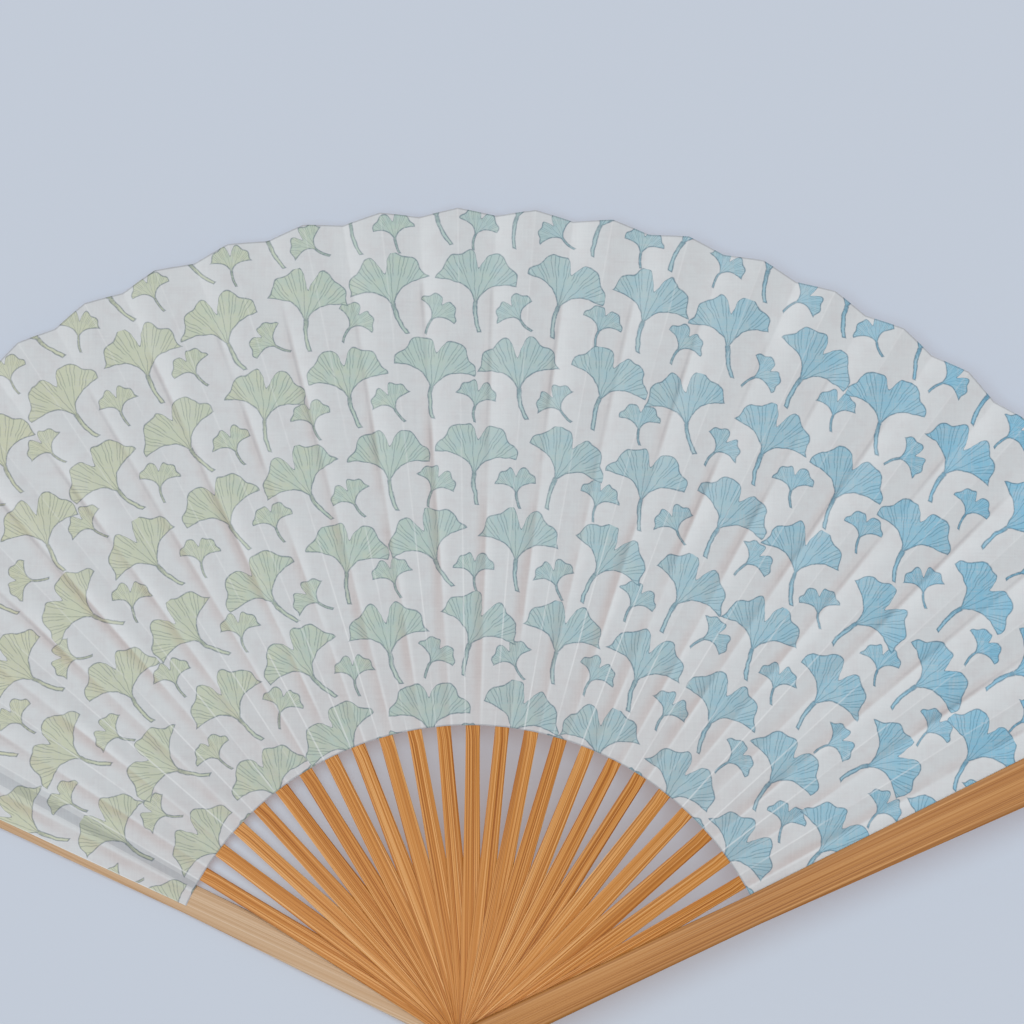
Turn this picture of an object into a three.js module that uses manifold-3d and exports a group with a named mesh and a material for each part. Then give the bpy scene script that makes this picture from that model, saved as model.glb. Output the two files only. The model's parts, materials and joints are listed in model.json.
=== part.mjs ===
// A folding fan of bamboo and cloth, lying open. Millimetres, +Z up.
// The origin is on the pivot axis, on the flat underside of the pin's lower head. +Y runs up the middle of the
// open fan. The back guard lies lowest, at the left, the front guard on top, at the right, and the ribs climb
// between them one layer at a time.

import * as THREE from "three";
import { mergeVertices } from "three/addons/utils/BufferGeometryUtils.js";
import Module from "manifold-3d";

const wasm = await Module();
wasm.setup();

// Layout
const RIB_COUNT = 23; // ribs between the two guards
const OPEN_ANGLE = 128.64; // degrees between the guards' centre lines
const PLEAT_TILT = 14; // degrees, the slope of a leaf facet that lies on a rib

// Leaf
const LEAF_RADIUS = 200; // pivot to the ridges at the outer rim
const LEAF_SCALLOP = 1.8; // how much nearer the pivot the valleys end
const LEAF_INNER_RADIUS = 75.7; // pivot to the inner rim
const LEAF_THICKNESS = 0.12;
const LEAF_HEM_INSET = 1.8; // leaf's end edge to the guard's long edge

// Ribs
const RIB_THICKNESS = 0.5;
const RIB_TAIL = 9; // pivot to the end behind it
const RIB_HEAD_RADIUS = 3.2; // half the width at the pivot
const RIB_WIDTH = 3.4; // just below the leaf
const RIB_SHOULDER = 3; // length over which a rib thins to its slat
const SLAT_THICKNESS = 0.16; // the rib behind the leaf
const SLAT_FOLD_MARGIN = 0.05; // slat's edge to the fold, at the inner rim
const SLAT_TIP_WIDTH = 2.2;
const SLAT_TIP_INSET = 16.5; // slat's end to the valleys' outer ends

// Guards
const GUARD_BLADE_THICKNESS = 1; // beside the leaf
const GUARD_HEAD_RADIUS = 4;
const GUARD_TAIL = 9.4;
const GUARD_RIM_WIDTH = 7.3; // at the leaf's inner rim
const GUARD_TIP_WIDTH = 13.1;
const GUARD_TIP_REACH = 1; // how far the tip passes the leaf's ridges
const GUARD_TIP_ROUND = 2; // radius of the tip's corners

// Pivot pin
const PIN_RADIUS = 1.5;
const PIN_HEAD_RADIUS = 3;
const PIN_HEAD_THICKNESS = 0.8;
const PIN_HEAD_CHAMFER = 0.25;
const CAP_BORE_DEPTH = 0.45;

// Clearances
const LAYER_CLEARANCE = 0.1; // between neighbours in the stack
const PIN_CLEARANCE = 0.05; // around the pin
const GLUE_GAP = 0.05; // between the cloth and what carries it
const FOLD_GAP = 0.1; // between neighbouring pleats at a ridge
const RIM_GAP = 0.3; // between the leaf's inner rim and the ribs' shoulders

// Taper of the handles: how fast they narrow from the head, as an exponent
const HANDLE_TAPER = 1.6;

// Facets of the round parts
const ROUND_SIDES = 16;
const ARC_STEPS = 5;
const HANDLE_STEPS = 12;

// Angles of the pleats
const GAP_COUNT = RIB_COUNT + 1;
const PITCH = THREE.MathUtils.degToRad(OPEN_ANGLE / GAP_COUNT);
const HALF_FACET = PITCH / 4;
const BACK_ANGLE = THREE.MathUtils.degToRad(90 + OPEN_ANGLE / 2);
const FACET_SLOPE = Math.tan(THREE.MathUtils.degToRad(PLEAT_TILT));

// Heights of the stack, from the pin's lower head upwards
const FACET_DROP = FACET_SLOPE * LEAF_RADIUS * Math.sin(HALF_FACET);
const GUARD_RECESS = FACET_DROP + 2 * (LEAF_THICKNESS + GLUE_GAP);
const GUARD_THICKNESS = GUARD_BLADE_THICKNESS + GUARD_RECESS;
const LAYER = RIB_THICKNESS + LAYER_CLEARANCE;
const BACK_GUARD_Z = PIN_HEAD_THICKNESS + LAYER_CLEARANCE;
const FIRST_RIB_Z = BACK_GUARD_Z + GUARD_THICKNESS + LAYER_CLEARANCE;
const FRONT_GUARD_Z = FIRST_RIB_Z + RIB_COUNT * LAYER;
const CAP_Z = FRONT_GUARD_Z + GUARD_THICKNESS + LAYER_CLEARANCE;

// Distances from the pivot
const SHOULDER_END = LEAF_INNER_RADIUS - RIM_GAP;
const SHOULDER_START = SHOULDER_END - RIB_SHOULDER;
const VALLEY_RADIUS = LEAF_RADIUS - LEAF_SCALLOP;
const SLAT_TIP = VALLEY_RADIUS - SLAT_TIP_INSET;
const GUARD_TIP = LEAF_RADIUS + GUARD_TIP_REACH;

// Corner radius of a pin hole, whose flats clear the pin at any angle
const HOLE_RADIUS = (PIN_RADIUS + PIN_CLEARANCE) / Math.cos(Math.PI / ROUND_SIDES);

const BAMBOO = new THREE.MeshStandardMaterial({ color: 0xcd8c3c, roughness: 0.5, metalness: 0 });
const CLOTH = new THREE.MeshStandardMaterial({ color: 0xcdd3cf, roughness: 0.9, metalness: 0 });
const BRASS = new THREE.MeshStandardMaterial({ color: 0xb08d4a, roughness: 0.35, metalness: 1 });

const fan = new THREE.Group();

// Every strip below is made in its rib's own frame: +X out from the pivot, +Y to the rib's left, +Z up.

// A slab cut along and across, whose points are moved to where place puts them. Its shares run from 0 to 1:
// outwards from the pivot, from right to left, and up through the thickness.
function slabGeometry(cutsAlong, cutsAcross, place) {
  const slab = new THREE.BoxGeometry(1, 1, 1, cutsAlong, cutsAcross, 1);
  const spots = slab.attributes.position;
  for (let i = 0; i < spots.count; i += 1) {
    const spot = place(spots.getX(i) + 0.5, spots.getY(i) + 0.5, spots.getZ(i) + 0.5);
    spots.setXYZ(i, spot.x, spot.y, spot.z);
  }
  slab.computeVertexNormals();
  return slab;
}

// A bamboo strip through its cross-sections, each with x, halfWidth, bottom, top and slope to the left.
function stripGeometry(sections) {
  return slabGeometry(sections.length - 1, 1, (along, across, up) => {
    const section = sections[Math.round(along * (sections.length - 1))];
    const y = (2 * across - 1) * section.halfWidth;
    const z = THREE.MathUtils.lerp(section.bottom, section.top, up) + section.slope * y;
    return new THREE.Vector3(section.x, y, z);
  });
}

// Cloth between fold lines, listed from left to right. Each line has the cloth's lower side at both rims.
function clothGeometry(lines) {
  return slabGeometry(1, lines.length - 1, (along, across, up) => {
    const line = lines[Math.round((1 - across) * (lines.length - 1))];
    const end = along < 0.5 ? line.inner : line.outer;
    return new THREE.Vector3(end.x, end.y, end.z + up * LEAF_THICKNESS);
  });
}

function solidOf(geometry) {
  const bare = geometry.clone();
  bare.deleteAttribute("normal");
  bare.deleteAttribute("uv");
  const merged = mergeVertices(bare);
  return new wasm.Manifold(
    new wasm.Mesh({
      numProp: 3,
      vertProperties: merged.attributes.position.array,
      triVerts: Uint32Array.from(merged.index.array),
    }),
  );
}

// The strip with a round hole for the pivot pin.
function pierced(strip, thickness) {
  const drill = new THREE.CylinderGeometry(HOLE_RADIUS, HOLE_RADIUS, 2 * thickness, ROUND_SIDES);
  drill.rotateX(Math.PI / 2).translate(0, 0, thickness / 2);
  const mesh = solidOf(strip).subtract(solidOf(drill)).getMesh();
  const geometry = new THREE.BufferGeometry();
  geometry.setAttribute("position", new THREE.BufferAttribute(mesh.vertProperties, 3));
  geometry.setIndex(new THREE.BufferAttribute(mesh.triVerts, 1));
  geometry.computeVertexNormals();
  return geometry;
}

// Outline points of the round end behind the pivot, from its tip forwards.
function tailOutline(tail, radius) {
  const points = [];
  for (let step = 1; step <= ARC_STEPS; step += 1) {
    const angle = (step / ARC_STEPS) * (Math.PI / 2);
    points.push({ x: radius - tail - radius * Math.cos(angle), halfWidth: radius * Math.sin(angle) });
  }
  return points;
}

// Outline points of the handle, drawn in from the wide head to the slim stem.
function handleOutline(length, headRadius, stemHalfWidth) {
  const points = [];
  for (let step = 0; step <= HANDLE_STEPS; step += 1) {
    const share = step / HANDLE_STEPS;
    const halfWidth = THREE.MathUtils.lerp(stemHalfWidth, headRadius, (1 - share) ** HANDLE_TAPER);
    points.push({ x: share * length, halfWidth, share });
  }
  return points;
}

// Ribs: flat at the pivot, turning along the handle to lie flat against their leaf facet.
function ribGeometry() {
  const body = { bottom: 0, top: RIB_THICKNESS };
  const slat = { bottom: 0, top: SLAT_THICKNESS, slope: FACET_SLOPE };
  const slatHalfWidth = LEAF_INNER_RADIUS * Math.sin(HALF_FACET) - SLAT_FOLD_MARGIN;
  const tail = tailOutline(RIB_TAIL, RIB_HEAD_RADIUS);
  const handle = handleOutline(SHOULDER_START, RIB_HEAD_RADIUS, RIB_WIDTH / 2);
  const sections = [
    ...tail.map((point) => ({ ...point, ...body, slope: 0 })),
    ...handle.map((point) => ({ ...point, ...body, slope: point.share * FACET_SLOPE })),
    { x: SHOULDER_END, halfWidth: slatHalfWidth, ...slat },
    { x: SLAT_TIP, halfWidth: SLAT_TIP_WIDTH / 2, ...slat },
  ];
  return pierced(stripGeometry(sections), RIB_THICKNESS);
}

function guardHalfWidth(x) {
  const share = (x - LEAF_INNER_RADIUS) / (GUARD_TIP - LEAF_INNER_RADIUS);
  return THREE.MathUtils.lerp(GUARD_RIM_WIDTH, GUARD_TIP_WIDTH, share) / 2;
}

// Guards: the outer face is flat, and the inner face draws back along the handle to make room for the leaf.
function guardGeometry(innerFaceUp) {
  const section = (point, share) => {
    const recess = share * GUARD_RECESS;
    return {
      ...point,
      bottom: innerFaceUp ? 0 : recess,
      top: innerFaceUp ? GUARD_THICKNESS - recess : GUARD_THICKNESS,
      slope: 0,
    };
  };
  const tail = tailOutline(GUARD_TAIL, GUARD_HEAD_RADIUS);
  const handle = handleOutline(SHOULDER_END, GUARD_HEAD_RADIUS, guardHalfWidth(SHOULDER_END));
  const tip = [];
  for (let step = 0; step <= ARC_STEPS; step += 1) {
    const angle = (step / ARC_STEPS) * (Math.PI / 2);
    const x = GUARD_TIP - GUARD_TIP_ROUND * (1 - Math.sin(angle));
    tip.push({ x, halfWidth: guardHalfWidth(x) - GUARD_TIP_ROUND * (1 - Math.cos(angle)) });
  }
  const sections = [
    ...tail.map((point) => section(point, 0)),
    ...handle.map((point) => section(point, point.share)),
    ...tip.map((point) => section(point, 1)),
  ];
  return pierced(stripGeometry(sections), GUARD_THICKNESS);
}

// A fold line at an angle from its rib's centre line, with the cloth's height on it as a function of y.
function foldLine(angle, outerRadius, height, shift = 0) {
  const point = (radius) => {
    const y = radius * Math.sin(angle);
    return new THREE.Vector3(radius * Math.cos(angle), y + shift, height(y));
  };
  return { inner: point(LEAF_INNER_RADIUS), outer: point(outerRadius) };
}

// The leaf's end edge along a guard, on the guard's left or right side.
function hemLine(side, outerRadius, height) {
  const point = (x) => new THREE.Vector3(x, side * (guardHalfWidth(x) - LEAF_HEM_INSET), height);
  return { inner: point(LEAF_INNER_RADIUS), outer: point(outerRadius) };
}

// The same line as seen from the frame of the rib to the left.
function fromLeftNeighbour(line, rise) {
  const turned = (end) => {
    const spot = end.clone().applyAxisAngle(new THREE.Vector3(0, 0, 1), -PITCH);
    spot.z += rise;
    return spot;
  };
  return { inner: turned(line.inner), outer: turned(line.outer) };
}

const onSlat = (y) => SLAT_THICKNESS + GLUE_GAP + FACET_SLOPE * y;
const onBackGuard = GUARD_BLADE_THICKNESS + GLUE_GAP;
const underFrontGuard = GUARD_RECESS - GLUE_GAP - LEAF_THICKNESS;

const ridge = foldLine(HALF_FACET, LEAF_RADIUS, onSlat);
const valley = foldLine(-HALF_FACET, VALLEY_RADIUS, onSlat);
const nextRidge = foldLine(HALF_FACET, LEAF_RADIUS, onSlat, FOLD_GAP);
const firstValley = foldLine(-HALF_FACET, VALLEY_RADIUS, () => onBackGuard);
const lastRidge = foldLine(HALF_FACET, LEAF_RADIUS, () => underFrontGuard);
const nextLastRidge = foldLine(HALF_FACET, LEAF_RADIUS, () => underFrontGuard, FOLD_GAP);

function pinGeometry() {
  const shaftTop = CAP_Z + CAP_BORE_DEPTH - PIN_CLEARANCE;
  const profile = [
    new THREE.Vector2(0, 0),
    new THREE.Vector2(PIN_HEAD_RADIUS - PIN_HEAD_CHAMFER, 0),
    new THREE.Vector2(PIN_HEAD_RADIUS, PIN_HEAD_CHAMFER),
    new THREE.Vector2(PIN_HEAD_RADIUS, PIN_HEAD_THICKNESS),
    new THREE.Vector2(PIN_RADIUS, PIN_HEAD_THICKNESS),
    new THREE.Vector2(PIN_RADIUS, shaftTop),
    new THREE.Vector2(0, shaftTop),
  ];
  return new THREE.LatheGeometry(profile, ROUND_SIDES).rotateX(Math.PI / 2);
}

// The cap is a shallow cup pressed over the pin's upper end.
function capGeometry() {
  const profile = [
    new THREE.Vector2(0, CAP_BORE_DEPTH),
    new THREE.Vector2(HOLE_RADIUS, CAP_BORE_DEPTH),
    new THREE.Vector2(HOLE_RADIUS, 0),
    new THREE.Vector2(PIN_HEAD_RADIUS, 0),
    new THREE.Vector2(PIN_HEAD_RADIUS, PIN_HEAD_THICKNESS - PIN_HEAD_CHAMFER),
    new THREE.Vector2(PIN_HEAD_RADIUS - PIN_HEAD_CHAMFER, PIN_HEAD_THICKNESS),
    new THREE.Vector2(0, PIN_HEAD_THICKNESS),
  ];
  return new THREE.LatheGeometry(profile, ROUND_SIDES).rotateX(Math.PI / 2);
}

function addPiece(name, geometry, material, z, place = 0) {
  const mesh = new THREE.Mesh(geometry, material);
  mesh.name = name;
  mesh.position.z = z;
  mesh.rotation.z = BACK_ANGLE - place * PITCH;
  fan.add(mesh);
}

const numbered = (stem, number) => `${stem}_${String(number).padStart(2, "0")}`;
const ribZ = (place) => FIRST_RIB_Z + (place - 1) * LAYER;

addPiece("back_guard", guardGeometry(true), BAMBOO, BACK_GUARD_Z);
addPiece("pivot_pin", pinGeometry(), BRASS, 0);
addPiece("pivot_cap", capGeometry(), BRASS, CAP_Z);

const rib = ribGeometry();
const pleat = clothGeometry([ridge, valley, fromLeftNeighbour(nextRidge, LAYER)]);
for (let place = 1; place <= RIB_COUNT; place += 1) {
  addPiece(numbered("rib", place), rib, BAMBOO, ribZ(place), place);
}

const backHem = hemLine(1, LEAF_RADIUS, onBackGuard);
const toFirstRib = fromLeftNeighbour(nextRidge, FIRST_RIB_Z - BACK_GUARD_Z);
addPiece(numbered("leaf_pleat", 0), clothGeometry([backHem, firstValley, toFirstRib]), CLOTH, BACK_GUARD_Z);
for (let place = 1; place < RIB_COUNT; place += 1) {
  addPiece(numbered("leaf_pleat", place), pleat, CLOTH, ribZ(place), place);
}
const toFrontGuard = fromLeftNeighbour(nextLastRidge, LAYER);
const lastPleat = clothGeometry([ridge, valley, toFrontGuard]);
addPiece(numbered("leaf_pleat", RIB_COUNT), lastPleat, CLOTH, ribZ(RIB_COUNT), RIB_COUNT);

const frontHem = hemLine(-1, VALLEY_RADIUS, underFrontGuard);
addPiece("leaf_end", clothGeometry([lastRidge, frontHem]), CLOTH, FRONT_GUARD_Z, GAP_COUNT);
addPiece("front_guard", guardGeometry(false), BAMBOO, FRONT_GUARD_Z, GAP_COUNT);

export default fan;
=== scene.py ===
"""Dresses a folding fan: bamboo ribs and guards, a pleated cloth leaf with a print, and a brass pivot.

The frame gives the fan's bodies, its hinges and the heights of its stack. Every piece is made where the
frame has its plain solid, in metres, and takes that solid's place. Sizes in the classes are millimetres.
The scale of a pattern is the number of its marks in a millimetre.
"""

from __future__ import annotations

import json
import logging
import math
from collections.abc import Callable, Sequence
from dataclasses import astuple, dataclass
from enum import Enum
from typing import Any, Union

import bmesh
import bpy
from bmesh.types import BMEdge, BMesh, BMVert
from bpy.types import ID, Material, Mesh, NodeOutputs, NodeSocket, NodeTree, Object
from mathutils import Matrix, Vector

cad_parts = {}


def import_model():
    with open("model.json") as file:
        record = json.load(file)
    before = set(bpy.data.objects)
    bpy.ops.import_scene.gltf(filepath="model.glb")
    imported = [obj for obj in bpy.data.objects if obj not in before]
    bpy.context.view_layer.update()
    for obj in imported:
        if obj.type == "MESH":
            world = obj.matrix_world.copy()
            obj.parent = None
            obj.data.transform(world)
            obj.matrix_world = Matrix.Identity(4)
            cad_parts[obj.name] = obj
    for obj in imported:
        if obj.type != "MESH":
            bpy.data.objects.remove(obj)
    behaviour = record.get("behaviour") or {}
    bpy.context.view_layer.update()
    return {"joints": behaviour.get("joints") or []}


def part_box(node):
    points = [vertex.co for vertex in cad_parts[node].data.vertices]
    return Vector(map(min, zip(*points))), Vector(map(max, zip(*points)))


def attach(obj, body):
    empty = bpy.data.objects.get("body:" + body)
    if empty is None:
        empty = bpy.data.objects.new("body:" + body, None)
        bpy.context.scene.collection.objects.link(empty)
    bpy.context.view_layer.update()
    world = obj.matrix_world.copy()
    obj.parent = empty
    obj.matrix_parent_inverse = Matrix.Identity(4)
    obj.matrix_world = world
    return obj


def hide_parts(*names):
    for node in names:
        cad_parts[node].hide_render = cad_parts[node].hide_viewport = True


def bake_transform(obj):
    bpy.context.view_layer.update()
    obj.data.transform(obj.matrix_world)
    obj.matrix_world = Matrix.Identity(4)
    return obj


LOG = logging.getLogger("folding_fan")
MM = 0.001
GRAIN_MAP = "grain"
EDGE_MAP = "edges"
PLAN_MAP = "plan"

Colour = tuple[float, float, float, float]
Pair = tuple[float, float]
Stops = Sequence[tuple[float, Colour]]
Value = Union["Wire", float]

# A mix node has sockets for each kind of data. These are its factor's and its colours' numbers.
MIX_INPUTS = (0, 6, 7)
MIX_OUTPUT = 2

BLACK = (0.0, 0.0, 0.0, 1.0)
WHITE = (1.0, 1.0, 1.0, 1.0)


class Slot(Enum):
    """The record's material slots."""

    GUARD = "bamboo_guard"
    RIB = "bamboo_rib"
    LEAF = "leaf_cloth"
    PIN = "pin_brass"


class Side(Enum):
    """The side of a guard that faces the leaf, as the way up or down to it."""

    UPPER = 1
    LOWER = -1


def display_colour(red: int, green: int, blue: int) -> Colour:
    """Turns a colour as a screen shows it into the linear values that shaders use.

    Args:
        red: Red, from 0 to 255.
        green: Green, from 0 to 255.
        blue: Blue, from 0 to 255.

    Returns:
        The linear colour, opaque.
    """
    shares = [part / 255 for part in (red, green, blue)]
    linear = [s / 12.92 if s <= 0.04045 else ((s + 0.055) / 1.055) ** 2.4 for s in shares]
    return (*linear, 1.0)


def palette(*colours: tuple[int, int, int]) -> tuple[Colour, ...]:
    """Turns several colours as a screen shows them into linear ones."""
    return tuple(display_colour(*colour) for colour in colours)


def mix(start: float, end: float, share: float) -> float:
    """Returns the value that lies a share of the way from start to end."""
    return start + (end - start) * share


def quarter_arc(steps: int) -> list[Pair]:
    """Returns the sines and cosines of the angles from zero to a right angle, in even steps."""
    angles = [math.pi / 2 * step / steps for step in range(steps + 1)]
    return [(math.sin(angle), math.cos(angle)) for angle in angles]


def operation(kind: str, swapped: bool = False) -> Callable[..., Wire]:
    """Makes a method that does one step of arithmetic with a wire.

    Args:
        kind: The step's name.
        swapped: Whether the wire comes after the other value.

    Returns:
        The method.
    """

    def method(wire: Wire, *others: Value) -> Wire:
        """Does the step."""
        values = (*others, wire) if swapped else (wire, *others)
        return wire.graph.math(kind, *values)

    return method


class Wire:
    """A shader value that takes part in arithmetic, so that a pattern reads as a formula."""

    __add__ = operation("ADD")
    __sub__ = operation("SUBTRACT")
    __rsub__ = operation("SUBTRACT", swapped=True)
    __mul__ = operation("MULTIPLY")
    __truediv__ = operation("DIVIDE")
    __abs__ = operation("ABSOLUTE")
    floor = operation("FLOOR")
    fraction = operation("FRACT")
    root = operation("SQRT")
    exponential = operation("EXPONENT")
    sine = operation("SINE")
    cosine = operation("COSINE")
    bearing = operation("ARCTAN2")
    most = operation("MAXIMUM")
    least = operation("MINIMUM")

    def __init__(self, graph: Graph, socket: NodeSocket) -> None:
        """Holds the socket that the value comes out of."""
        self.graph = graph
        self.socket = socket

    def smooth(self, low: float, high: float) -> Wire:
        """Rises smoothly from 0 at low to 1 at high."""
        inputs = {"Value": self, "From Min": low, "From Max": high}
        outputs = self.graph.node("MapRange", inputs, interpolation_type="SMOOTHSTEP")
        return Wire(self.graph, outputs["Result"])

    def within(self, half_width: float, softness: float) -> Wire:
        """Makes a stripe round zero, 1 inside it and 0 outside, whose edges fade over the softness."""
        return ((half_width - abs(self)) / softness + 0.5).smooth(0.0, 1.0)


class Graph:
    """A shader node tree, with short calls for the nodes that the fan's finishes use."""

    def __init__(self, tree: NodeTree) -> None:
        """Starts on an existing tree."""
        self.tree = tree

    @classmethod
    def group(cls, name: str, *titles: str) -> Graph:
        """Makes a node group with one input, the place on the surface in millimetres.

        Args:
            name: The group's name.
            titles: The names of its outputs, which are plain values.

        Returns:
            The group's tree, ready to be filled.
        """
        tree = bpy.data.node_groups.new(name, "ShaderNodeTree")
        tree.interface.new_socket("Place", in_out="INPUT", socket_type="NodeSocketVector")
        for title in titles:
            tree.interface.new_socket(title, in_out="OUTPUT", socket_type="NodeSocketFloat")
        tree.nodes.new("NodeGroupInput").name = "source"
        tree.nodes.new("NodeGroupOutput").name = "sink"
        return cls(tree)

    def place(self) -> tuple[Wire, Wire, Wire]:
        """Returns the three values of the group's input."""
        return self.parts(Wire(self, self.tree.nodes["source"].outputs["Place"]))

    def give(self, **values: Wire) -> NodeTree:
        """Sends values to the group's outputs of the same names, and returns the group's tree."""
        for title, value in values.items():
            self.feed(self.tree.nodes["sink"].inputs[title], value)
        return self.tree

    def feed(self, socket: NodeSocket, value: Any) -> None:
        """Links a wire to a socket, or sets the socket to a plain value."""
        if isinstance(value, Wire):
            self.tree.links.new(value.socket, socket)
        else:
            socket.default_value = value

    def node(self, kind: str, inputs: dict[Any, Any], **settings: Any) -> NodeOutputs:
        """Adds a node.

        Args:
            kind: The node's type, without its prefix.
            inputs: What its inputs are fed with, by name or number.
            settings: The node's own settings.

        Returns:
            The node's outputs.
        """
        node = self.tree.nodes.new(f"ShaderNode{kind}")
        for title, value in settings.items():
            setattr(node, title, value)
        for title, value in inputs.items():
            self.feed(node.inputs[title], value)
        return node.outputs

    def math(self, kind: str, *values: Value) -> Wire:
        """Does one step of arithmetic."""
        return Wire(self, self.node("Math", dict(enumerate(values)), operation=kind)["Value"])

    def vector(self, *values: Value) -> Wire:
        """Joins two or three values into a vector."""
        return Wire(self, self.node("CombineXYZ", dict(enumerate(values)))["Vector"])

    def parts(self, vector: Wire) -> tuple[Wire, Wire, Wire]:
        """Splits a vector into its three values."""
        return tuple(Wire(self, output) for output in self.node("SeparateXYZ", {"Vector": vector}))

    def length(self, x: Wire, y: Wire) -> Wire:
        """Returns the distance of a point from the origin."""
        return (x * x + y * y).root()

    def noise(self, x: Value, y: Value, z: Value = 0.0, detail: float = 1.0, rough: float = 0.5) -> Wire:
        """Returns cloudy noise from 0 to 1, with one cloud to a unit of its place."""
        inputs = {"Vector": self.vector(x, y, z), "Scale": 1.0, "Detail": detail, "Roughness": rough}
        return Wire(self, self.node("TexNoise", inputs)["Fac"])

    def dice(self, x: Wire, y: Wire) -> tuple[Wire, Wire, Wire]:
        """Returns three chance values from 0 to 1 that depend on two whole numbers."""
        thrown = self.node("TexWhiteNoise", {"Vector": self.vector(x, y)}, noise_dimensions="2D")
        return self.parts(Wire(self, thrown["Color"]))

    def blend(self, share: Value, under: Any, over: Any, mode: str = "MIX") -> Wire:
        """Lays one colour over another.

        Args:
            share: How much of the upper colour shows.
            under: The lower colour.
            over: The upper colour.
            mode: How the two are mixed.

        Returns:
            The mixed colour.
        """
        inputs = dict(zip(MIX_INPUTS, (share, under, over)))
        return Wire(self, self.node("Mix", inputs, data_type="RGBA", blend_type=mode)[MIX_OUTPUT])

    def ramp(self, value: Wire, stops: Stops) -> Wire:
        """Looks a value up on a colour ramp.

        Args:
            value: The value, from 0 to 1.
            stops: The ramp's places and colours.

        Returns:
            The colour.
        """
        output = self.node("ValToRGB", {"Fac": value})["Color"]
        elements = output.node.color_ramp.elements
        for position, _ in stops[2:]:
            elements.new(position)
        for element, (position, colour) in zip(elements, stops):
            element.position = position
            element.color = colour
        return Wire(self, output)

    def use(self, group: NodeTree, place: Wire) -> dict[str, Wire]:
        """Places a node group in this tree, and returns its outputs by name."""
        outputs = self.node("Group", {"Place": place}, node_tree=group)
        return {output.name: Wire(self, output) for output in outputs}


class Surface(Graph):
    """A new material's tree, with its main shader."""

    def __init__(self, name: str) -> None:
        """Makes the material."""
        self.material = bpy.data.materials.new(name)
        self.material.use_nodes = True
        super().__init__(self.material.node_tree)
        self.shader = self.tree.nodes["Principled BSDF"]

    def map_place(self, name: str) -> Wire:
        """Returns the place that the piece's own map gives."""
        return Wire(self, self.node("UVMap", {}, uv_map=name)["UV"])

    def object_place(self) -> tuple[Wire, Wire, Wire]:
        """Returns the place in the piece's own metres."""
        return self.parts(Wire(self, self.node("TexCoord", {})["Object"]))

    def set(self, **values: Any) -> None:
        """Sets or links the shader's sockets, whose names have underscores for spaces."""
        for title, value in values.items():
            self.feed(self.shader.inputs[title.replace("_", " ")], value)

    def relief(self, height: Wire, depth: float) -> None:
        """Gives the surface fine relief, whose height of 1 stands for a depth in millimetres."""
        bump = self.node("Bump", {"Strength": 1.0, "Distance": depth * MM, "Height": height})
        self.set(Normal=Wire(self, bump["Normal"]))


@dataclass(frozen=True)
class Bed:
    """The face that carries the cloth on a rib or guard: its height and its rise to the left."""

    height: float
    slope: float

    def level(self, left: float) -> float:
        """Returns the cloth's height at a distance to the left of the centre line."""
        return self.height + self.slope * left


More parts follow.
